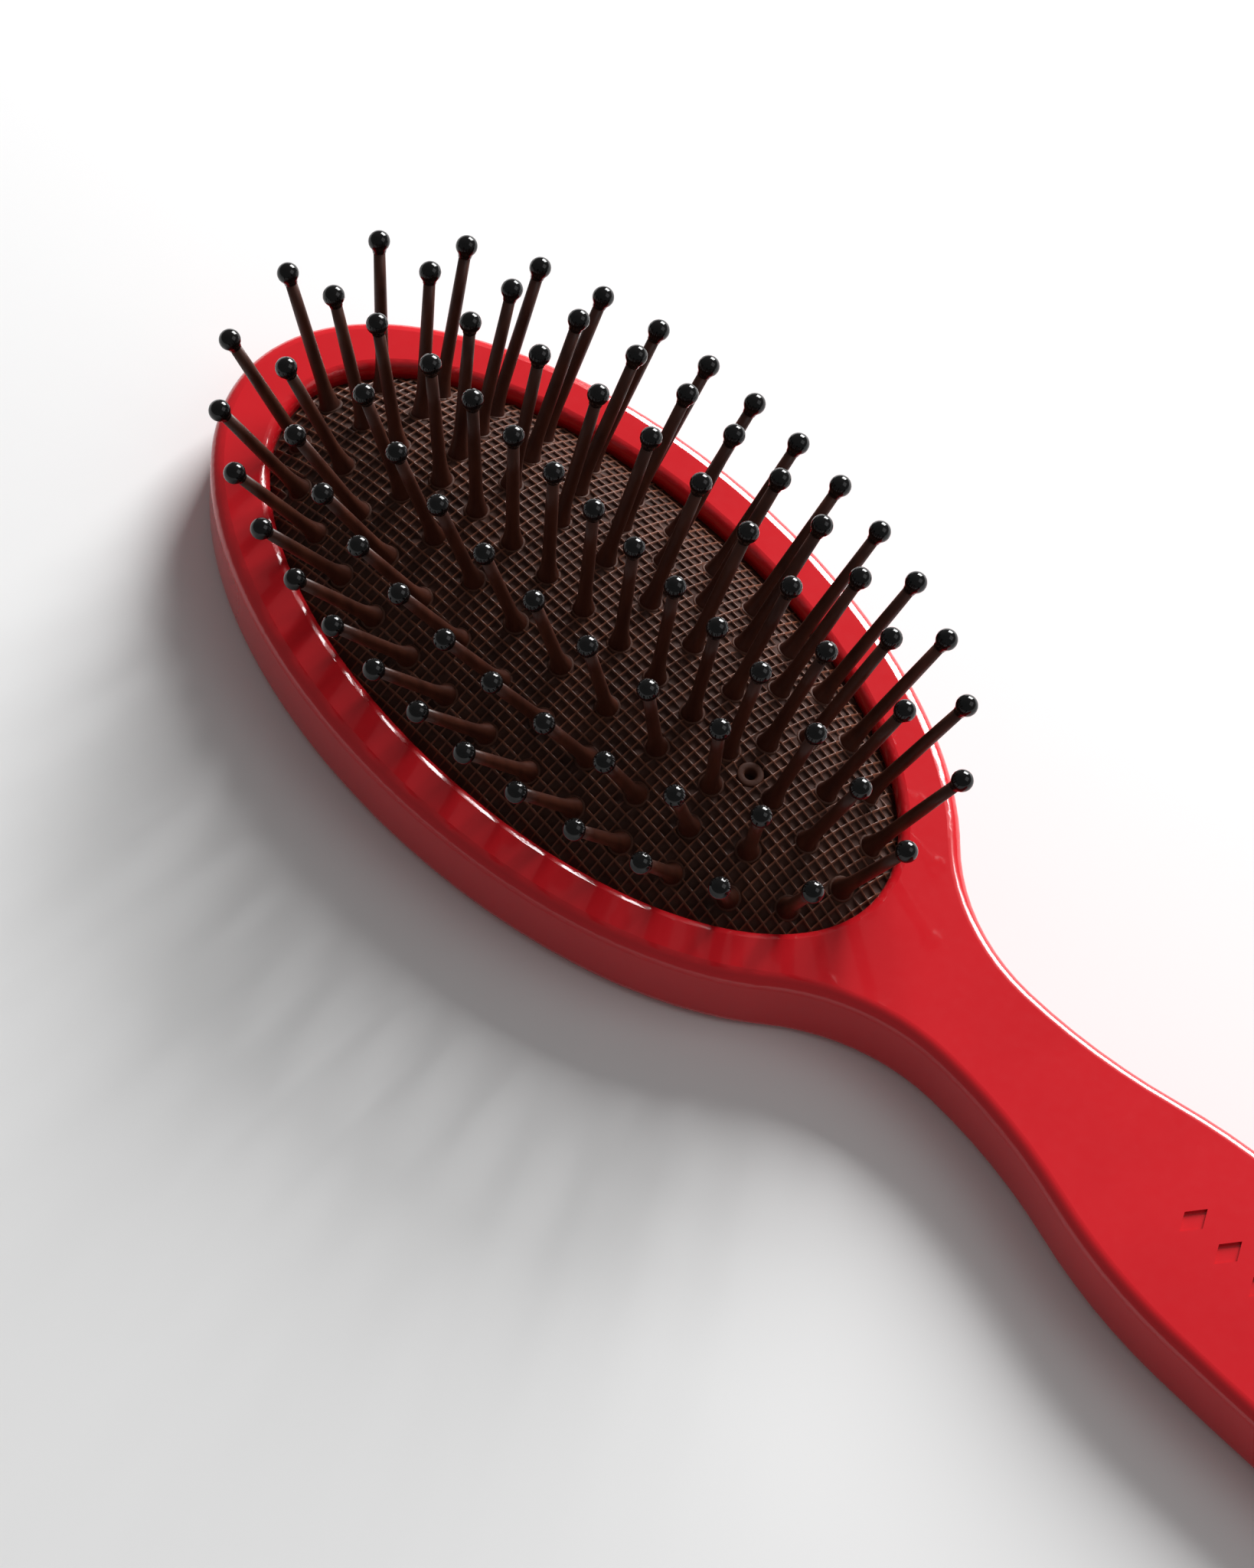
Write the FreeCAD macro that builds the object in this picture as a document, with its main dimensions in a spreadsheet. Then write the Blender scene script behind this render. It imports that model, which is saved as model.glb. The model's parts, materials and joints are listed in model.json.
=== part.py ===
"""Oval air-cushion hairbrush: one-piece body, rubber cushion pad, and nylon pins with ball tips.

Millimetres, +Z up, +X from the head towards the end of the handle. The brush lies on its flat back
at Z = 0, and the origin is under the middle of its length.
"""
import FreeCAD, Part
import math
import os
import Sketcher

Vector = FreeCAD.Vector
doc = FreeCAD.newDocument("hairbrush")

# ---------------------------------------------------------------- driving dimensions
SIZES = [
    ("overall_length", 190.0, "tip of the head to the end of the handle"),
    ("head_length", 95.6, "long axis of the head's ellipse"),
    ("head_width", 52.2, "short axis of the head's ellipse"),
    ("body_thickness", 8.5, "flat back to flat rim"),
    ("outer_round", 1.4, "radius of the body's outer edges"),
    ("lip_round", 1.1, "radius of the opening's upper edge"),
    ("neck_offset", 58.3, "head's centre to the narrowest place of the neck"),
    ("neck_half_width", 6.3, "half width of the neck"),
    ("grip_offset", 93.8, "head's centre to the widest place of the handle"),
    ("grip_half_width", 11.0, "half width of the handle at its widest"),
    ("taper_radius", 400.0, "radius of the handle's sides from its widest place to its end"),
    ("mark_count", 9, "lozenges engraved along the handle"),
    ("mark_offset", 86.6, "head's centre to the first lozenge's centre"),
    ("mark_pitch", 4.6, "distance between lozenges"),
    ("mark_length", 2.4, "lozenge along the brush"),
    ("mark_width", 3.8, "lozenge across the brush"),
    ("mark_depth", 0.3, "depth of the engraving"),
    ("opening_length", 81.8, "long axis of the opening in the rim"),
    ("opening_width", 41.0, "short axis of the opening in the rim"),
    ("lip_depth", 2.0, "rim down to the groove that holds the pad"),
    ("groove_undercut", 1.4, "groove wider than the opening, all round"),
    ("groove_height", 1.7, "height of the groove"),
    ("ledge_width", 2.0, "opening to the air chamber's wall, all round"),
    ("floor_thickness", 2.2, "back wall under the air chamber"),
    ("pad_thickness", 1.6, "rubber membrane"),
    ("pad_play", 0.1, "gap between the pad's flange and the groove"),
    ("pad_rise", 7.5, "pad's edge to its apex"),
    ("pad_fullness", 0.8, "extra height of the pad towards its two ends"),
    ("pad_flange_inset", 2.0, "inner edge of the pad's flange inside the opening"),
    ("vent_radius", 0.6, "air hole in the pad"),
    ("pin_hole_radius", 0.8, "holes for the pins in the pad"),
    ("foot_radius", 1.4, "pin's foot under the pad"),
    ("foot_height", 0.7, "height of the foot"),
    ("foot_gap", 0.35, "pad's underside to the foot, along the pin"),
    ("flare_start", 0.35, "pad's surface to the flare, along the pin"),
    ("flare_radius", 1.1, "flare at its lower end"),
    ("flare_height", 2.6, "height of the flare"),
    ("shaft_radius", 0.68, "pin above its flare"),
    ("pin_end_radius", 0.62, "pin at its upper end"),
    ("pin_reach", 16.5, "pad's surface to the middle of the ball"),
    ("ball_radius", 1.12, "ball tip"),
    ("outer_pins", 30, "pins in the outer ring"),
    ("outer_half_length", 38.0, "outer ring, half its length on the pad"),
    ("outer_half_width", 15.35, "outer ring, half its width"),
    ("middle_pins", 24, "pins in the middle ring"),
    ("middle_half_length", 32.8, "middle ring, half its length"),
    ("middle_half_width", 11.05, "middle ring, half its width"),
    ("inner_pins", 18, "pins in the inner ring"),
    ("inner_half_length", 27.7, "inner ring, half its length"),
    ("inner_half_width", 6.0, "inner ring, half its width"),
    ("centre_pins", 9, "pins in the centre row"),
    ("centre_half_length", 21.2, "centre row, half its length"),
    ("ring_power", 2.25, "exponent of the rings' superellipse"),
    ("splay_along", 0.23, "pins' lean along the brush, linear part"),
    ("splay_along_cubic", 0.32, "pins' lean along the brush, cubic part"),
    ("splay_across", 1.1, "pins' lean across the brush, linear part"),
    ("splay_across_cubic", -0.21, "pins' lean across the brush, cubic part"),
]
PINS_PER_NODE = 3

sheet = doc.addObject("Spreadsheet::Sheet", "sizes")
for row, (alias, value, meaning) in enumerate(SIZES, start=1):
    sheet.set(f"A{row}", meaning)
    sheet.set(f"B{row}", str(value))
    sheet.setAlias(f"B{row}", alias)
doc.recompute()


def size(alias):
    return float(getattr(sheet, alias))


def bind(item, **expressions):
    """Bind an object's properties to the sheet's cells."""
    for name, expression in expressions.items():
        item.setExpression(name, expression)
    return item


HEAD_X = (size("head_length") - size("overall_length")) / 2   # centre of the head, pad and pins
RIM_Z = size("body_thickness")
EDGE_Z = RIM_Z - size("lip_depth")                            # pad's edge, at the foot of the lip


# ---------------------------------------------------------------- brush body
def arc(centre, radius, first, last):
    """Counter-clockwise arc between two directions, given in radians."""
    circle = Part.Circle(Vector(centre[0], centre[1], 0), Vector(0, 0, 1), radius)
    return Part.ArcOfCircle(circle, first, last)


def neck_arc(neck_x, neck_y):
    """Angle on the head's ellipse, radius and bearing of the arc tangent to it and to the neck."""
    half_length, half_width = size("head_length") / 2, size("head_width") / 2

    def fitted(angle):
        x, y = HEAD_X + half_length * math.cos(angle), half_width * math.sin(angle)
        bearing = math.atan2(half_length * math.sin(angle), half_width * math.cos(angle))
        radius = (y - neck_y) / (1 - math.sin(bearing))
        return x + radius * math.cos(bearing) - neck_x, radius, bearing

    low, high = 0.3, 0.9
    for _ in range(60):
        angle = (low + high) / 2
        if fitted(low)[0] * fitted(angle)[0] <= 0:
            high = angle
        else:
            low = angle
    return (angle,) + fitted(angle)[1:]


def body_outline():
    """Head ellipse, tangent arcs along neck and handle, and the handle's round end."""
    neck_x, grip_x = HEAD_X + size("neck_offset"), HEAD_X + size("grip_offset")
    neck, grip, taper = size("neck_half_width"), size("grip_half_width"), size("taper_radius")
    angle, neck_radius, bearing = neck_arc(neck_x, neck)
    run, rise = grip_x - neck_x, grip - neck
    flank_radius = (run ** 2 + rise ** 2) / (4 * rise)        # two equal arcs make the flank's S
    flank_turn = 2 * math.atan(rise / run)
    end_x = size("overall_length") / 2
    reach, drop = end_x - grip_x, taper - grip
    end_radius = (taper ** 2 - drop ** 2 - reach ** 2) / (2 * (taper - reach))
    end_centre = end_x - end_radius
    end_bearing = math.atan2(drop, end_centre - grip_x)
    quarter, full = math.pi / 2, 2 * math.pi
    ellipse = Part.Ellipse(Vector(HEAD_X, 0, 0), size("head_length") / 2, size("head_width") / 2)
    curves = [
        Part.ArcOfEllipse(ellipse, angle, full - angle),
        arc((end_centre, 0), end_radius, -end_bearing, end_bearing),
    ]
    for side in (1, -1):                                      # centre, radius and bearings, +Y side
        for x, y, radius, first, last in (
            (neck_x, neck + neck_radius, neck_radius, bearing + math.pi, 3 * quarter),
            (neck_x, neck + flank_radius, flank_radius, 3 * quarter, 3 * quarter + flank_turn),
            (grip_x, grip - flank_radius, flank_radius, quarter, quarter + flank_turn),
            (grip_x, grip - taper, taper, end_bearing, quarter),
        ):
            ends = (first, last) if side > 0 else (-last, -first)
            curves.append(arc((x, side * y), radius, *ends))
    return curves


def origin_of(body, role):
    return next(item for item in body.Origin.OriginFeatures if item.Role == role)


def add_sketch(body, name, height):
    """A sketch parallel to the body's XY plane, at a height given as an expression."""
    sketch = body.newObject("Sketcher::SketchObject", name)
    sketch.AttachmentSupport = (origin_of(body, "XY_Plane"), [""])
    sketch.MapMode = "FlatFace"
    sketch.setExpression("AttachmentOffset.Base.z", height)
    return sketch


def add_ellipse(sketch, length, width):
    """A centred ellipse on the head's centre, its axes bound to expressions."""
    ellipse = Part.Ellipse(Vector(HEAD_X, 0, 0), 40.0, 20.0)
    index = sketch.addGeometry(ellipse, False)
    sketch.exposeInternalGeometry(index)
    long_axis, short_axis = index + 1, index + 2
    sketch.addConstraint(Sketcher.Constraint("Horizontal", long_axis))
    rules = [
        ("centre_x", Sketcher.Constraint("DistanceX", index, 3, -1, 1, -HEAD_X),
         "(sizes.overall_length - sizes.head_length) / 2"),
        ("long_axis", Sketcher.Constraint("Distance", long_axis, 80.0), length),
        ("short_axis", Sketcher.Constraint("Distance", short_axis, 40.0), width),
    ]
    sketch.addConstraint(Sketcher.Constraint("PointOnObject", index, 3, -1))
    for name, rule, expression in rules:
        number = sketch.addConstraint(rule)
        sketch.renameConstraint(number, name)
        sketch.setExpression(f"Constraints.{name}", expression)


def add_pocket(body, name, top, depth, length, width):
    """An elliptical pocket from one height down by a depth."""
    sketch = add_sketch(body, name + "_outline", top)
    add_ellipse(sketch, length, width)
    doc.recompute()
    before = body.Shape.Volume
    pocket = body.newObject("PartDesign::Pocket", name)
    pocket.Profile = sketch
    bind(pocket, Length=depth)
    doc.recompute()
    if not pocket.Shape.Volume < before - 1.0:
        raise ValueError(name + " cuts nothing")
    return pocket


def add_fillet(body, name, radius, wanted):
    """Round the edges of the body's tip for which wanted(edge) is true."""
    base = body.Tip
    names = [f"Edge{number}" for number, edge in enumerate(base.Shape.Edges, start=1) if wanted(edge)]
    fillet = body.newObject("PartDesign::Fillet", name)
    fillet.Base = (base, names)
    bind(fillet, Radius=radius)
    doc.recompute()
    return fillet


def in_opening(edge):
    """True for an edge that lies within the opening's ellipse."""
    box = edge.BoundBox
    return box.YLength < size("opening_width") + 0.1 and box.XLength < size("opening_length") + 0.1


def at_height(edge, height):
    return abs(edge.BoundBox.ZMin - height) < 0.01 and abs(edge.BoundBox.ZMax - height) < 0.01


def add_engraving(body):
    """A row of small lozenges sunk into the top of the handle."""
    half_length, half_width = size("mark_length") / 2, size("mark_width") / 2
    middle = HEAD_X + size("mark_offset")
    corners = [
        Vector(middle - half_length, 0, 0),
        Vector(middle, -half_width, 0),
        Vector(middle + half_length, 0, 0),
        Vector(middle, half_width, 0),
    ]
    sketch = add_sketch(body, "lozenge", "sizes.body_thickness")
    for start, end in zip(corners, corners[1:] + corners[:1]):
        index = sketch.addGeometry(Part.LineSegment(start, end), False)
        sketch.addConstraint(Sketcher.Constraint("Block", index))
    doc.recompute()
    before = body.Shape.Volume
    pocket = body.newObject("PartDesign::Pocket", "lozenge_pocket")
    pocket.Profile = sketch
    bind(pocket, Length="sizes.mark_depth")
    doc.recompute()
    row = body.newObject("PartDesign::LinearPattern", "lozenge_row")
    row.Originals = [pocket]
    row.Direction = (origin_of(body, "X_Axis"), [""])
    bind(row, Length="(sizes.mark_count - 1) * sizes.mark_pitch", Occurrences="sizes.mark_count")
    body.Tip = row
    doc.recompute()
    engraved = 2 * half_length * half_width * size("mark_depth") * size("mark_count")
    if abs(before - body.Shape.Volume - engraved) > 0.05 * engraved:
        raise ValueError("the engraving is not what its sizes say")


def make_brush_body():
    body = doc.addObject("PartDesign::Body", "brush_body")
    outline = add_sketch(body, "outline", "0")
    for curve in body_outline():
        index = outline.addGeometry(curve, False)
        outline.addConstraint(Sketcher.Constraint("Block", index))
    slab = body.newObject("PartDesign::Pad", "slab")
    slab.Profile = outline
    bind(slab, Length="sizes.body_thickness")
    doc.recompute()
    add_fillet(body, "outer_rounding", "sizes.outer_round",
               lambda edge: at_height(edge, 0) or at_height(edge, RIM_Z))
    wall = "sizes.opening_{0} + 2 * sizes.groove_undercut"
    shelf = "sizes.opening_{0} - 2 * sizes.ledge_width"
    rim, edge = "sizes.body_thickness", "sizes.body_thickness - sizes.lip_depth"
    bottom = edge + " - sizes.groove_height"
    add_pocket(body, "opening", rim, "sizes.lip_depth", "sizes.opening_length", "sizes.opening_width")
    add_pocket(body, "groove", edge, "sizes.groove_height", wall.format("length"), wall.format("width"))
    add_pocket(body, "air_chamber", bottom, bottom + " - sizes.floor_thickness",
               shelf.format("length"), shelf.format("width"))
    add_fillet(body, "lip_rounding", "sizes.lip_round",
               lambda item: at_height(item, RIM_Z) and in_opening(item))
    add_engraving(body)
    return body


# ---------------------------------------------------------------- where the pins stand
def pad_height(x, y):
    """Height of the pad's upper surface: a crown over the ellipse, fuller towards its ends."""
    along = ((x - HEAD_X) / (size("opening_length") / 2)) ** 2
    across = (y / (size("opening_width") / 2)) ** 2
    fullness = 1 + size("pad_fullness") * along
    return EDGE_Z + size("pad_rise") * (1 - along - across) * fullness


def pin_direction(x, y):
    """Unit vector along a pin: they lean outwards, more the further they stand from the middle."""
    along = (x - HEAD_X) / (size("opening_length") / 2)
    across = y / (size("opening_width") / 2)
    lean_x = size("splay_along") * along + size("splay_along_cubic") * along ** 3
    lean_y = size("splay_across") * across + size("splay_across_cubic") * across ** 3
    direction = Vector(lean_x, lean_y, 1)
    return direction.normalize()


def ring_points(count, half_length, half_width):
    """Points at equal steps along a superellipse, the first on its long axis, towards the handle."""
    fine = 3600
    power = 2 / size("ring_power")
    walk = []
    for step in range(fine + 1):
        angle = 2 * math.pi * step / fine
        cosine, sine = math.cos(angle), math.sin(angle)
        x = half_length * math.copysign(abs(cosine) ** power, cosine)
        y = half_width * math.copysign(abs(sine) ** power, sine)
        walk.append((x, y))
    travelled = [0.0]
    for (x0, y0), (x1, y1) in zip(walk, walk[1:]):
        travelled.append(travelled[-1] + math.hypot(x1 - x0, y1 - y0))
    points, step = [], 0
    for number in range(count):
        target = travelled[-1] * number / count
        while travelled[step] < target:
            step += 1
        points.append((HEAD_X + walk[step][0], walk[step][1]))
    return points


def row_points(count, half_length):
    pitch = 2 * half_length / (count - 1)
    return [(HEAD_X - half_length + pitch * number, 0.0) for number in range(count)]


def pin_groups():
    """Each group's name and where its pins stand."""
    groups = {}
    for name in ("outer", "middle", "inner"):
        count = int(size(name + "_pins"))
        groups[name] = ring_points(count, size(name + "_half_length"), size(name + "_half_width"))
    groups["centre"] = row_points(int(size("centre_pins")), size("centre_half_length"))
    return groups


def on_pad(point):
    """Placement that takes a pin's own frame to its place on the pad."""
    x, y = point
    turn = FreeCAD.Rotation(Vector(0, 0, 1), pin_direction(x, y))
    return FreeCAD.Placement(Vector(x, y, pad_height(x, y)), turn)


# ---------------------------------------------------------------- cushion pad
def elliptical_prism(length, width, bottom, top):
    ellipse = Part.Ellipse(Vector(HEAD_X, 0, bottom), length / 2, width / 2)
    face = Part.Face(Part.Wire(ellipse.toShape()))
    return face.extrude(Vector(0, 0, top - bottom))


def make_cushion_pad(groups):
    """A domed membrane with a flat flange round it, pierced by the pins' holes and one vent."""
    length, width = size("opening_length"), size("opening_width")
    thickness = size("pad_thickness")
    reach_x, reach_y = 0.52 * length, 0.52 * width
    columns, rows = 15, 11
    grid = []
    for column in range(columns):
        x = HEAD_X - reach_x + 2 * reach_x * column / (columns - 1)
        heights = [-reach_y + 2 * reach_y * row / (rows - 1) for row in range(rows)]
        grid.append([Vector(x, y, pad_height(x, y)) for y in heights])
    surface = Part.BSplineSurface()
    surface.interpolate(grid)
    membrane = surface.toShape().extrude(Vector(0, 0, -thickness))
    top, play = EDGE_Z + size("pad_rise") + 1.0, 2 * size("pad_play")
    membrane = membrane.common(elliptical_prism(length - play, width - play, 0, top))
    above, below = 1.5, 4.0
    drills = []
    for point in sum(groups.values(), []):
        drill = Part.makeCylinder(size("pin_hole_radius"), above + below, Vector(0, 0, -below))
        drill.Placement = on_pad(point)
        drills.append(drill)
    vent_x = HEAD_X + (size("centre_half_length") + size("inner_half_length")) / 2
    drills.append(Part.makeCylinder(size("vent_radius"), top, Vector(vent_x, 0, 0)))
    membrane = membrane.cut(drills)
    growth, inset = 2 * size("groove_undercut") - play, 2 * size("pad_flange_inset")
    flange_top = EDGE_Z - size("pad_play") / 2
    flange_bottom = EDGE_Z - size("groove_height") + size("pad_play") / 2
    flange = elliptical_prism(length + growth, width + growth, flange_bottom, flange_top)
    flange = flange.cut(elliptical_prism(length - inset, width - inset, 0, top))
    item = doc.addObject("Part::Feature", "cushion_pad")
    item.Shape = membrane.fuse(flange)
    return item


# ---------------------------------------------------------------- pins and ball tips
def primitive(kind, name, **expressions):
    item = doc.addObject(kind, name)
    return bind(item, **expressions)


def raise_to(item, expression):
    item.setExpression("Placement.Base.z", expression)
    return item


def pin_pattern():
    """One pin along +Z from the pad's surface at its own origin: foot, shank, flare and shaft."""
    neck = "sizes.pin_reach - 1.15 * sizes.ball_radius"
    flare_top = "sizes.flare_start + sizes.flare_height"
    foot_top = "-sizes.pad_thickness - sizes.foot_gap"
    foot = primitive("Part::Cylinder", "pin_foot", Radius="sizes.foot_radius", Height="sizes.foot_height")
    raise_to(foot, foot_top + " - sizes.foot_height")
    shank = primitive("Part::Cylinder", "pin_shank", Radius="sizes.shaft_radius",
                      Height="sizes.pad_thickness + sizes.foot_gap + sizes.flare_start")
    raise_to(shank, foot_top)
    flare = primitive("Part::Cone", "pin_flare", Radius1="sizes.flare_radius",
                      Radius2="sizes.shaft_radius", Height="sizes.flare_height")
    raise_to(flare, "sizes.flare_start")
    shaft = primitive("Part::Cone", "pin_shaft", Radius1="sizes.shaft_radius",
                      Radius2="sizes.pin_end_radius", Height=f"{neck} - ({flare_top})")
    raise_to(shaft, flare_top)
    spigot = primitive("Part::Cylinder", "pin_spigot", Radius="sizes.pin_end_radius",
                       Height="1.15 * sizes.ball_radius")
    raise_to(spigot, neck)
    pin = doc.addObject("Part::MultiFuse", "pin_pattern")
    pin.Shapes = [foot, shank, flare, shaft, spigot]
    return pin


def tip_pattern():
    """One ball in the pin's frame, with the blind socket that its pin fills."""
    ball = primitive("Part::Sphere", "tip_ball", Radius="sizes.ball_radius")
    raise_to(ball, "sizes.pin_reach")
    socket = primitive("Part::Cylinder", "tip_socket", Radius="sizes.pin_end_radius",
                       Height="1.5 * sizes.ball_radius")
    raise_to(socket, "sizes.pin_reach - 1.5 * sizes.ball_radius")
    tip = doc.addObject("Part::Cut", "tip_pattern")
    tip.Base, tip.Tool = ball, socket
    return tip


def make_rows(kind, pattern, groups):
    """Copies of a pattern on the pad, a few neighbours to a node."""
    rows = []
    for group, points in groups.items():
        for number in range(0, len(points), PINS_PER_NODE):
            copies = []
            for point in points[number:number + PINS_PER_NODE]:
                copy = pattern.Shape.copy()
                copy.Placement = on_pad(point).multiply(copy.Placement)
                copies.append(copy)
            name = f"{kind}_{group}_{number // PINS_PER_NODE + 1:02d}"
            item = doc.addObject("Part::Feature", name)
            item.Shape = Part.makeCompound(copies)
            rows.append(item)
    return rows


# ---------------------------------------------------------------- build, check, export
def main():
    groups = pin_groups()
    parts = [make_brush_body(), make_cushion_pad(groups)]
    pin, tip = pin_pattern(), tip_pattern()
    doc.recompute()
    parts += make_rows("pins", pin, groups) + make_rows("tips", tip, groups)
    doc.recompute()
    for item in doc.Objects:
        if "Invalid" in item.State or "Error" in item.State:
            raise ValueError(item.Name + " failed")
    for item in parts:
        item.Label = item.Name
        if item.Shape.isNull() or not item.Shape.isValid():
            raise ValueError(item.Name + " has no valid shape")
    os.makedirs("parts", exist_ok=True)
    for item in parts:
        item.Shape.exportStep(f"parts/{item.Label}.step")
        print(item.Label, len(item.Shape.Solids), round(item.Shape.Volume, 2))


main()
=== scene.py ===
"""Oval air-cushion hairbrush: looks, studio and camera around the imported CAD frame."""
import json
import math

import bpy
from mathutils import Matrix, Vector


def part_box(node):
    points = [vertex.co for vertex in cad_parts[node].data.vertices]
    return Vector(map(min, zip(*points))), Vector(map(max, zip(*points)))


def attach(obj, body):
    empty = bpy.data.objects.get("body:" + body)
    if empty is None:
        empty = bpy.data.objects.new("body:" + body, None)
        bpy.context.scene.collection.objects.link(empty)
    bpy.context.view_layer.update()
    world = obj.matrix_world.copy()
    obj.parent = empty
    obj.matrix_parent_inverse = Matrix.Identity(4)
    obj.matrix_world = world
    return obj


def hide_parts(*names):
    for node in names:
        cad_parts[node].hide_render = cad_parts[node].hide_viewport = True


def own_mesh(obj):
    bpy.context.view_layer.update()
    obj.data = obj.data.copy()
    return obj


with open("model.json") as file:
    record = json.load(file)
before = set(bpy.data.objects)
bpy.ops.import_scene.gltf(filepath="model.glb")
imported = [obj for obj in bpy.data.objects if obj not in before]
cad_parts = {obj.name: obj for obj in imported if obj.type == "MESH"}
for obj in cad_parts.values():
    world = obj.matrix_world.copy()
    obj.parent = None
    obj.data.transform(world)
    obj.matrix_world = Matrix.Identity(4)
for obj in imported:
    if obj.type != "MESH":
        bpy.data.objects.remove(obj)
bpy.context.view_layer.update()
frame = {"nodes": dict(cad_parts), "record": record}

MM = 0.001

# ---------------------------------------------------------------- sizes, in millimetres
LIP_DEPTH = 2.0            # rim down to the pad's edge
FLANGE_REACH = 1.3         # pad's flange beyond the opening, all round
SKIN_REACH = 0.95          # pad's skin beyond the opening, inside the groove
RIB_MARGIN = 0.3           # bare band of skin inside the opening
PAD_FULLNESS = 0.8         # extra height of the pad towards its two ends
PAD_THICKNESS = 1.6
LATTICE_PITCH = 1.1       # raised square lattice moulded into the rubber
RIB_TOP, RIB_FOOT = 0.05, 0.11
RIB_HEIGHT = 0.3
BOSS_RADIUS = 1.45         # ribs stop here round each pin and round the vent
BOSS_EDGE = 0.2            # over which the ribs fade out
VENT_RADIUS = 0.6
VENT_DEPTH = 1.45          # skin is sunk this far under the vent's disc
PIN_REACH = 16.5           # pad's surface to the middle of the ball
BALL_RADIUS = 1.12
NEIGHBOURHOOD = 4.0        # cell in which pins near a point are looked up
FLOOR_HALF = 3.0           # metres

# Lathe profiles, (distance along the pin from the pad's surface, radius): a pin with a soft flare where
# it leaves the rubber, the disc round it, and the vent's disc with its hole.
PIN_PROFILE = [(-1.1, 1.16), (-0.15, 1.16), (0.12, 1.12), (0.45, 1.02), (0.9, 0.93), (1.4, 0.85),
               (2.0, 0.77), (2.7, 0.71), (3.6, 0.68), (7.0, 0.665), (11.0, 0.645), (15.9, 0.6)]
BOSS_PROFILE = [(-0.4, 1.36), (-0.05, 1.36), (0.06, 1.3), (0.1, 1.2), (0.1, 0.9), (0.0, 0.4)]
VENT_PROFILE = [(-1.5, 1.4), (0.02, 1.34), (0.08, 1.22), (0.1, 1.05), (0.1, 0.8), (0.05, 0.68),
                (-0.1, VENT_RADIUS), (-1.35, VENT_RADIUS), (-1.4, 0.3)]
SIDES = 20                 # of a turned solid

# Pairs of colours that each material's noise runs between.
LACQUER_REDS = ((0.56, 0.008, 0.014), (0.62, 0.011, 0.018))
RIB_BROWNS = ((0.1, 0.032, 0.016), (0.17, 0.056, 0.028))
# The cells' browns are darker than the ribs': painted shade in the recesses between the ribs.
CELL_SHADE_BROWNS = ((0.03, 0.0095, 0.005), (0.055, 0.018, 0.01))
NYLON_BROWNS = ((0.04, 0.01, 0.005), (0.075, 0.019, 0.009))
RESIN_BLACKS = ((0.003, 0.003, 0.003), (0.006, 0.005, 0.005))

HEAD_LOW, HEAD_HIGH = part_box("brush_body")
PAD_LOW, PAD_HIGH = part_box("cushion_pad")
PAD_X = (PAD_LOW.x + PAD_HIGH.x) / 2 / MM
HALF_LONG = (PAD_HIGH.x - PAD_LOW.x) / 2 / MM - FLANGE_REACH
HALF_SHORT = (PAD_HIGH.y - PAD_LOW.y) / 2 / MM - FLANGE_REACH
RIM = HEAD_HIGH.z / MM
EDGE = RIM - LIP_DEPTH
RISE = PAD_HIGH.z / MM - EDGE


# ---------------------------------------------------------------- material helpers
def new_material(name):
    material = bpy.data.materials.new(name)
    material.use_nodes = True
    nodes = material.node_tree.nodes
    return material, nodes, material.node_tree.links, nodes["Principled BSDF"]


def noise(nodes, links, scale, detail=4.0, roughness=0.55, stretch=None):
    """Noise in object space; stretch scales its three axes."""
    coordinates = nodes.new("ShaderNodeTexCoord")
    mapping = nodes.new("ShaderNodeMapping")
    if stretch:
        mapping.inputs["Scale"].default_value = stretch
    texture = nodes.new("ShaderNodeTexNoise")
    texture.inputs["Scale"].default_value = scale
    texture.inputs["Detail"].default_value = detail
    texture.inputs["Roughness"].default_value = roughness
    links.new(coordinates.outputs["Object"], mapping.inputs["Vector"])
    links.new(mapping.outputs["Vector"], texture.inputs["Vector"])
    return texture.outputs["Fac"]


def ramp(nodes, links, source, colours):
    """Colour ramp from one colour to another over the middle of a noise."""
    node = nodes.new("ShaderNodeValToRGB")
    for element, position, colour in zip(node.color_ramp.elements, (0.3, 0.7), colours):
        element.position = position
        element.color = (*colour, 1.0)
    links.new(source, node.inputs["Fac"])
    return node.outputs["Color"]


def spread(nodes, links, source, low, high):
    """Map 0..1 to low..high."""
    node = nodes.new("ShaderNodeMapRange")
    node.inputs["To Min"].default_value = low
    node.inputs["To Max"].default_value = high
    links.new(source, node.inputs["Value"])
    return node.outputs["Result"]


def bump(nodes, links, shader, source, distance, strength):
    node = nodes.new("ShaderNodeBump")
    node.inputs["Distance"].default_value = distance
    node.inputs["Strength"].default_value = strength
    links.new(source, node.inputs["Height"])
    links.new(node.outputs["Normal"], shader.inputs["Normal"])


def red_lacquer():
    """Deep glossy red, with a faint unevenness in colour, gloss and surface."""
    material, nodes, links, shader = new_material("red_lacquer")
    broad = noise(nodes, links, 45.0, 3.0)
    colour = ramp(nodes, links, broad, LACQUER_REDS)
    links.new(colour, shader.inputs["Base Color"])
    fine = noise(nodes, links, 900.0, 5.0)
    links.new(spread(nodes, links, fine, 0.17, 0.27), shader.inputs["Roughness"])
    bump(nodes, links, shader, noise(nodes, links, 160.0, 2.0), 0.00003, 0.5)
    shader.inputs["Coat Weight"].default_value = 0.55
    shader.inputs["Coat Roughness"].default_value = 0.06
    shader.inputs["Specular IOR Level"].default_value = 0.22
    return material


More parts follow.
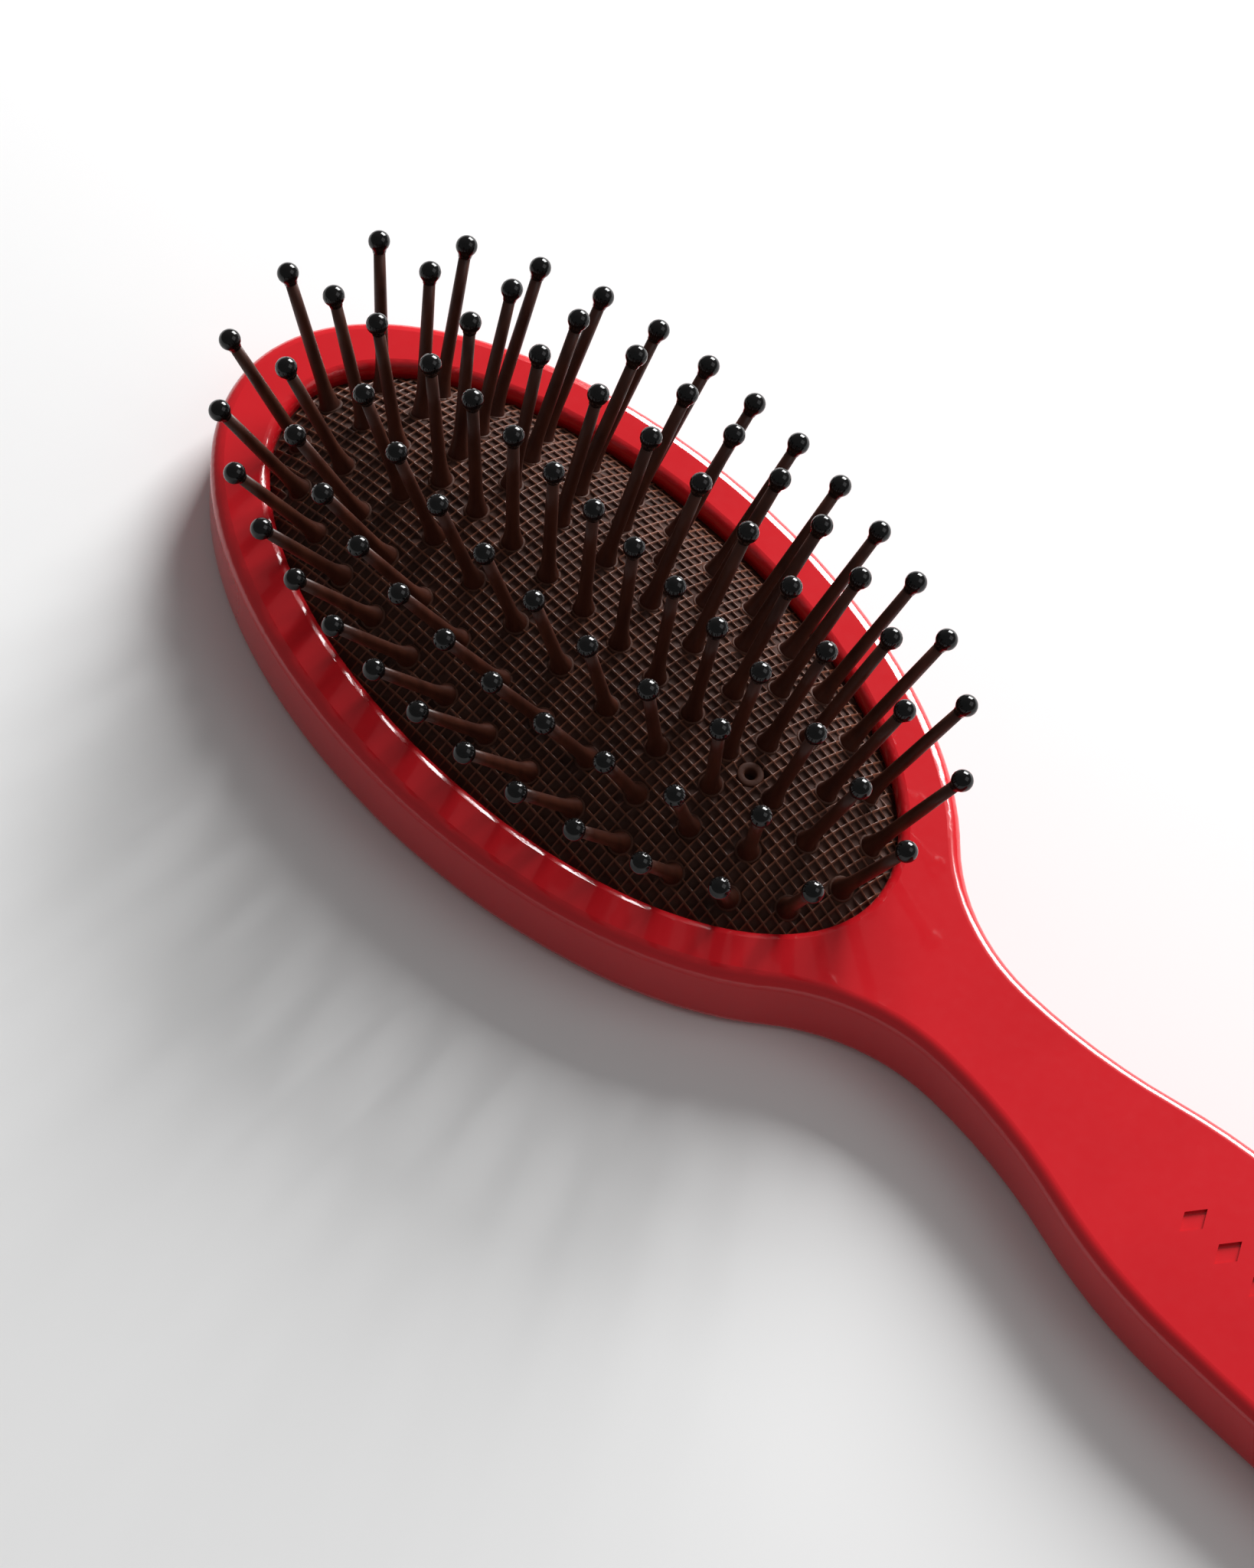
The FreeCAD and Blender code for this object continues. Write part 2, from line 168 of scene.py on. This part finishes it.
def brown_rubber():
    """Moulded rubber: warm brown, finely mottled, with satin ribs and duller cells; the cells are
    darkened with painted shade.
    """
    material, nodes, links, shader = new_material("brown_rubber")
    mottle = noise(nodes, links, 300.0, 6.0)
    ribs = ramp(nodes, links, mottle, RIB_BROWNS)
    # Darker brown for the cells between the ribs: painted shade.
    painted_cell_shade = ramp(nodes, links, mottle, CELL_SHADE_BROWNS)
    height = nodes.new("ShaderNodeAttribute")
    height.attribute_name = "raised"
    # Mixed by how raised each point is, so the low cells take the painted shade and the ribs keep the
    # rubber's brown.
    mix = nodes.new("ShaderNodeMix")
    mix.data_type = "RGBA"
    links.new(height.outputs["Fac"], mix.inputs["Factor"])
    links.new(painted_cell_shade, mix.inputs["A"])
    links.new(ribs, mix.inputs["B"])
    links.new(mix.outputs["Result"], shader.inputs["Base Color"])
    links.new(spread(nodes, links, height.outputs["Fac"], 0.75, 0.36), shader.inputs["Roughness"])
    bump(nodes, links, shader, noise(nodes, links, 2500.0, 3.0), 0.00004, 0.6)
    shader.inputs["Specular IOR Level"].default_value = 0.25
    return material


def brown_nylon():
    """Drawn nylon: dark brown with long faint streaks along each pin."""
    material, nodes, links, shader = new_material("brown_nylon")
    streaks = noise(nodes, links, 700.0, 3.0, stretch=(1.0, 1.0, 0.12))
    colour = ramp(nodes, links, streaks, NYLON_BROWNS)
    links.new(colour, shader.inputs["Base Color"])
    links.new(spread(nodes, links, streaks, 0.32, 0.5), shader.inputs["Roughness"])
    shader.inputs["Specular IOR Level"].default_value = 0.3
    return material


def black_resin():
    """Glossy near-black resin of the ball tips."""
    material, nodes, links, shader = new_material("black_resin")
    cloud = noise(nodes, links, 1200.0, 2.0)
    colour = ramp(nodes, links, cloud, RESIN_BLACKS)
    links.new(colour, shader.inputs["Base Color"])
    links.new(spread(nodes, links, cloud, 0.06, 0.12), shader.inputs["Roughness"])
    shader.inputs["Specular IOR Level"].default_value = 0.35
    return material


def pale_floor():
    """Plain matt card."""
    material, _, _, shader = new_material("pale_floor")
    shader.inputs["Base Color"].default_value = (0.86, 0.86, 0.86, 1.0)
    shader.inputs["Roughness"].default_value = 0.9
    return material


# ---------------------------------------------------------------- mesh helpers
def new_piece(name, vertices, faces, material):
    """A smooth-shaded mesh piece from points in millimetres."""
    mesh = bpy.data.meshes.new(name)
    mesh.from_pydata([Vector(point) * MM for point in vertices], [], faces)
    mesh.validate()
    mesh.polygons.foreach_set("use_smooth", [True] * len(mesh.polygons))
    mesh.materials.append(material)
    piece = bpy.data.objects.new(name, mesh)
    bpy.context.scene.collection.objects.link(piece)
    return piece


def add_lathe(vertices, faces, profile, origin, axis):
    """Add a closed turned solid: profile is (distance along axis, radius) from end to end."""
    side = axis.orthogonal().normalized()
    other = axis.cross(side)
    first = len(vertices)
    for along, radius in profile:
        for step in range(SIDES):
            angle = 2 * math.pi * step / SIDES
            offset = side * math.cos(angle) + other * math.sin(angle)
            vertices.append(origin + axis * along + offset * radius)
    for ring in range(len(profile) - 1):
        low = first + ring * SIDES
        for step in range(SIDES):
            after = (step + 1) % SIDES
            faces.append((low + step, low + after, low + SIDES + after, low + SIDES + step))
    last = first + (len(profile) - 1) * SIDES
    faces.append(tuple(range(first + SIDES - 1, first - 1, -1)))
    faces.append(tuple(range(last, last + SIDES)))


def islands(node):
    """The separate solids of a CAD node, each a list of points in millimetres."""
    mesh = node.data
    keys = [tuple(round(value / MM, 3) for value in vertex.co) for vertex in mesh.vertices]
    parent = {key: key for key in keys}

    def root(key):
        while parent[key] != key:
            parent[key] = parent[parent[key]]
            key = parent[key]
        return key

    for edge in mesh.edges:
        one, two = (root(keys[index]) for index in edge.vertices)
        if one != two:
            parent[one] = two
    groups = {}
    for key in parent:
        groups.setdefault(root(key), []).append(Vector(key))
    return list(groups.values())


# ---------------------------------------------------------------- where the pins stand
def ball_centre(points):
    """Middle of a ball, from its widest and highest points."""
    x_values, y_values = [point.x for point in points], [point.y for point in points]
    top = max(point.z for point in points)
    middle_x = (min(x_values) + max(x_values)) / 2
    middle_y = (min(y_values) + max(y_values)) / 2
    return Vector((middle_x, middle_y, top - BALL_RADIUS))


def pins_of(number):
    """(ball's middle, unit vector up the pin) for each pin of a pair of nodes."""
    feet = islands(frame["nodes"]["pins_" + number])
    found = []
    for ball in (ball_centre(points) for points in islands(frame["nodes"]["tips_" + number])):
        pin = min(feet, key=lambda points: min((point - ball).length for point in points))
        reach = max((point - ball).length for point in pin)
        rim = [point for point in pin if (point - ball).length > reach - 0.02]
        foot = sum(rim, Vector()) / len(rim)
        found.append((ball, (ball - foot).normalized()))
    return found


ROWS = sorted(name[len("pins_"):] for name in frame["nodes"] if name.startswith("pins_"))
PINS = {number: pins_of(number) for number in ROWS}
BASES = [ball - axis * PIN_REACH for pins in PINS.values() for ball, axis in pins]
CENTRE_ROW = [ball - axis * PIN_REACH for number in ROWS if number.startswith("centre")
              for ball, axis in PINS[number]]


# ---------------------------------------------------------------- cushion pad
def pad_height(x, y):
    """The pad's crown, without its lattice; flat beyond its edge, where the groove holds it."""
    along = ((x - PAD_X) / HALF_LONG) ** 2
    across = (y / HALF_SHORT) ** 2
    return EDGE + RISE * max(0.0, 1 - along - across) * (1 + PAD_FULLNESS * along)


def pad_normal(x, y):
    step = 0.1
    slope_x = (pad_height(x + step, y) - pad_height(x - step, y)) / (2 * step)
    slope_y = (pad_height(x, y + step) - pad_height(x, y - step)) / (2 * step)
    return Vector((-slope_x, -slope_y, 1)).normalized()


def falloff(distance, inner, outer):
    """1 inside inner, 0 outside outer, smooth between."""
    t = min(1.0, max(0.0, (outer - distance) / (outer - inner)))
    return t * t * (3 - 2 * t)


def lattice_stations(low, high):
    """Places where the lattice's profile bends, over a span that is a whole number of pitches."""
    count = math.ceil((high - low) / LATTICE_PITCH)
    start = (low + high - count * LATTICE_PITCH) / 2
    stations = []
    for number in range(count + 1):
        rib = start + number * LATTICE_PITCH
        stations += [(rib - RIB_FOOT, 0.0), (rib - RIB_TOP, 1.0)]
        stations += [(rib + RIB_TOP, 1.0), (rib + RIB_FOOT, 0.0)]
    return stations


def vent_place():
    """Between the last pin of the centre row and the first of the inner ring, towards the handle."""
    last = max(base.x for base in CENTRE_ROW)
    ahead = min(base.x for base in BASES if abs(base.y) < 0.5 and base.x > last + 1)
    return Vector(((last + ahead) / 2, 0, 0))


def inside(x, y, margin):
    """True within the opening's ellipse grown by a margin."""
    return ((x - PAD_X) / (HALF_LONG + margin)) ** 2 + (y / (HALF_SHORT + margin)) ** 2 <= 1


def cell_of(x, y):
    return round(x / NEIGHBOURHOOD), round(y / NEIGHBOURHOOD)


def lattice_skin(centres, vent):
    """The ribbed upper skin: points, how raised each is (0 to 1), and each station's point."""
    columns = lattice_stations(PAD_X - HALF_LONG - SKIN_REACH, PAD_X + HALF_LONG + SKIN_REACH)
    rows = lattice_stations(-HALF_SHORT - SKIN_REACH, HALF_SHORT + SKIN_REACH)
    near = {}
    for centre in centres:
        column, row = cell_of(centre.x, centre.y)
        for i in range(-1, 2):
            for j in range(-1, 2):
                near.setdefault((column + i, row + j), []).append(centre)
    vertices, raised, index = [], [], {}
    for i, (x, rib_x) in enumerate(columns):
        for j, (y, rib_y) in enumerate(rows):
            if not inside(x, y, SKIN_REACH):
                continue
            lattice = max(rib_x, rib_y)
            for centre in near.get(cell_of(x, y), []):
                distance = math.hypot(x - centre.x, y - centre.y)
                lattice *= 1 - falloff(distance, BOSS_RADIUS - BOSS_EDGE, BOSS_RADIUS)
            if not inside(x, y, -RIB_MARGIN):
                lattice = 0.0
            from_vent = math.hypot(x - vent.x, y - vent.y)
            sink = falloff(from_vent, VENT_RADIUS + 0.1, BOSS_RADIUS - BOSS_EDGE)
            index[i, j] = len(vertices)
            vertices.append((x, y, pad_height(x, y) + lattice * RIB_HEIGHT - sink * VENT_DEPTH))
            raised.append(lattice)
    return vertices, raised, index


def skin_faces(index):
    """The skin's squares, and the way round its border, from each point to the next."""
    faces, sides = [], {}
    for (i, j), corner in index.items():
        ring = [corner, index.get((i + 1, j)), index.get((i + 1, j + 1)), index.get((i, j + 1))]
        if None in ring:
            continue
        faces.append(tuple(ring))
        for one, two in zip(ring, ring[1:] + ring[:1]):
            if (two, one) in sides:
                del sides[two, one]
            else:
                sides[one, two] = True
    return faces, {one: two for one, two in sides}


def close_skin(vertices, raised, faces, follow):
    """Add a skirt down from the border and a flat underside."""
    below = {one: len(vertices) + number for number, one in enumerate(follow)}
    for one in follow:
        x, y, _ = vertices[one]
        vertices.append((x, y, EDGE - PAD_THICKNESS))
        raised.append(0.0)
    for one, two in follow.items():
        faces.append((two, one, below[one], below[two]))
    start = next(iter(follow))
    loop, step = [start], follow[start]
    while step != start:
        loop.append(step)
        step = follow[step]
    faces.append(tuple(below[one] for one in reversed(loop)))


def make_pad(material):
    """The membrane with its ribs, the discs round its pins, and its vent."""
    vent = vent_place()
    centres = BASES + [vent]
    vertices, raised, index = lattice_skin(centres, vent)
    faces, follow = skin_faces(index)
    close_skin(vertices, raised, faces, follow)
    used = sorted({corner for face in faces for corner in face})
    renumber = {old: new for new, old in enumerate(used)}
    vertices = [Vector(vertices[old]) for old in used]
    raised = [raised[old] for old in used]
    faces = [tuple(renumber[corner] for corner in face) for face in faces]
    for centre in centres:
        profile = VENT_PROFILE if centre is vent else BOSS_PROFILE
        origin = Vector((centre.x, centre.y, pad_height(centre.x, centre.y)))
        add_lathe(vertices, faces, profile, origin, pad_normal(centre.x, centre.y))
    # Discs round the pins and the vent get a middle value, so they take part of the cells' painted
    # shade.
    raised += [0.3] * (len(vertices) - len(raised))
    pad = new_piece("cushion_skin", vertices, faces, material)
    pad.data.attributes.new("raised", "FLOAT", "POINT").data.foreach_set("value", raised)
    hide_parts("cushion_pad")
    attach(pad, "brush")
    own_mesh(pad)


# ---------------------------------------------------------------- pins and ball tips
def ball_profile():
    """A ball with a short collar where it meets the pin."""
    steps = 12
    angles = [math.pi * step / steps for step in range(3, steps)]
    arc = [(-BALL_RADIUS * math.cos(angle), BALL_RADIUS * math.sin(angle)) for angle in angles]
    return [(-1.26, 0.6), (-1.22, 0.68), (-1.04, 0.7)] + arc + [(0.995 * BALL_RADIUS, 0.12)]


def make_row(number, pin_material, tip_material):
    """One node's pins and their tips, as two pieces."""
    bodies = frame["record"]["behaviour"]["bodies"]
    body = next(name for name, nodes in bodies.items() if "pins_" + number in nodes)
    kinds = (
        ("pins", "nylon", PIN_PROFILE, PIN_REACH, pin_material, "nylon_pin"),
        ("tips", "ball", ball_profile(), 0.0, tip_material, "ball_tip"),
    )
    for kind, label, profile, back, material, slot in kinds:
        vertices, faces = [], []
        for ball, axis in PINS[number]:
            add_lathe(vertices, faces, profile, ball - axis * back, axis)
        piece = new_piece(f"{label}_{number}", vertices, faces, material)
        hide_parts(f"{kind}_{number}")
        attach(piece, body)


# ---------------------------------------------------------------- studio
def make_floor():
    mesh = bpy.data.meshes.new("floor")
    corners = [(x * FLOOR_HALF, y * FLOOR_HALF, 0) for x, y in ((-1, -1), (1, -1), (1, 1), (-1, 1))]
    mesh.from_pydata(corners, [], [(0, 1, 2, 3)])
    mesh.materials.append(pale_floor())
    floor = bpy.data.objects.new("floor", mesh)
    bpy.context.scene.collection.objects.link(floor)


def aim(item, target):
    item.rotation_euler = (Vector(target) - item.location).to_track_quat("-Z", "Y").to_euler()


def add_area(name, place, target, width, depth, watts):
    light = bpy.data.lights.new(name, "AREA")
    light.shape = "RECTANGLE"
    light.size, light.size_y = width, depth
    light.energy = watts
    item = bpy.data.objects.new(name, light)
    bpy.context.scene.collection.objects.link(item)
    item.location = place
    aim(item, target)


def make_lights():
    """A dim white world, a large low key behind the brush, and a faint fill from above."""
    world = bpy.data.worlds.new("studio")
    world.use_nodes = True
    background = world.node_tree.nodes["Background"]
    background.inputs["Color"].default_value = (1.0, 1.0, 1.0, 1.0)
    background.inputs["Strength"].default_value = 0.19
    bpy.context.scene.world = world
    middle = (-0.03, 0.0, 0.01)
    add_area("key", (-0.28, 0.72, 0.38), middle, 0.42, 0.42, 14.0)
    add_area("overhead", (0.5, 0.35, 0.7), middle, 0.6, 0.6, 1.2)


TARGET = Vector((-0.0313, -0.0082, 0.009))
CAMERA_DISTANCE = 0.6262                                            # metres
CAMERA_AZIMUTH, CAMERA_ELEVATION, CAMERA_ROLL = -47.82, 56.02, 6.72   # degrees
LENS = 146.9


def make_camera():
    azimuth, elevation = math.radians(CAMERA_AZIMUTH), math.radians(CAMERA_ELEVATION)
    roll = math.radians(CAMERA_ROLL)
    flat = math.cos(elevation)
    back = Vector((flat * math.cos(azimuth), flat * math.sin(azimuth), math.sin(elevation)))
    level = Vector((0, 0, 1)).cross(back).normalized()
    upright = back.cross(level)
    right = level * math.cos(roll) + upright * math.sin(roll)
    up = back.cross(right)
    data = bpy.data.cameras.new("camera")
    data.lens = LENS
    data.sensor_width = 36.0
    data.clip_start = 0.01
    camera = bpy.data.objects.new("camera", data)
    turn = Matrix((right, up, back)).transposed().to_4x4()
    camera.matrix_world = Matrix.Translation(TARGET + back * CAMERA_DISTANCE) @ turn
    bpy.context.scene.collection.objects.link(camera)
    bpy.context.scene.camera = camera


# ---------------------------------------------------------------- build
def main():
    bpy.context.scene.view_settings.view_transform = "Standard"
    body = frame["nodes"]["brush_body"]
    body.data.materials.clear()
    body.data.materials.append(red_lacquer())
    make_pad(brown_rubber())
    nylon, resin = brown_nylon(), black_resin()
    for number in ROWS:
        make_row(number, nylon, resin)
    make_floor()
    make_lights()
    make_camera()


main()
